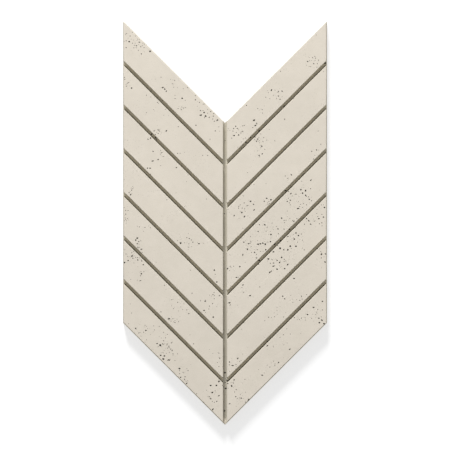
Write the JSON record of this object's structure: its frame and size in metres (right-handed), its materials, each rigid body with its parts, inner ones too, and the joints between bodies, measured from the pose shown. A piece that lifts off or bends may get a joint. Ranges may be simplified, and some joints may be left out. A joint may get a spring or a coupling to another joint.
{
  "type": "textured concrete wall panel",
  "caption": "Arrow-shaped cast concrete wall panel: sloping strips either side of a spine groove, notched at one end and pointed at the other, glued to a wall in a chevron pattern.",
  "frame": {"origin": "on the flat back, at the centre of the outline's bounding box, under the spine groove", "axes": "+Z out of the grooved face, +Y along the spine from the point towards the notch, +X across, to the right when the face is seen with the notch up"},
  "size_m": [0.4, 0.7922, 0.02],
  "materials": {
    "concrete": "matt cast face with open air pores"
  },
  "bodies": {
    "root": {"panel": "concrete"}
  },
  "joints": []
}
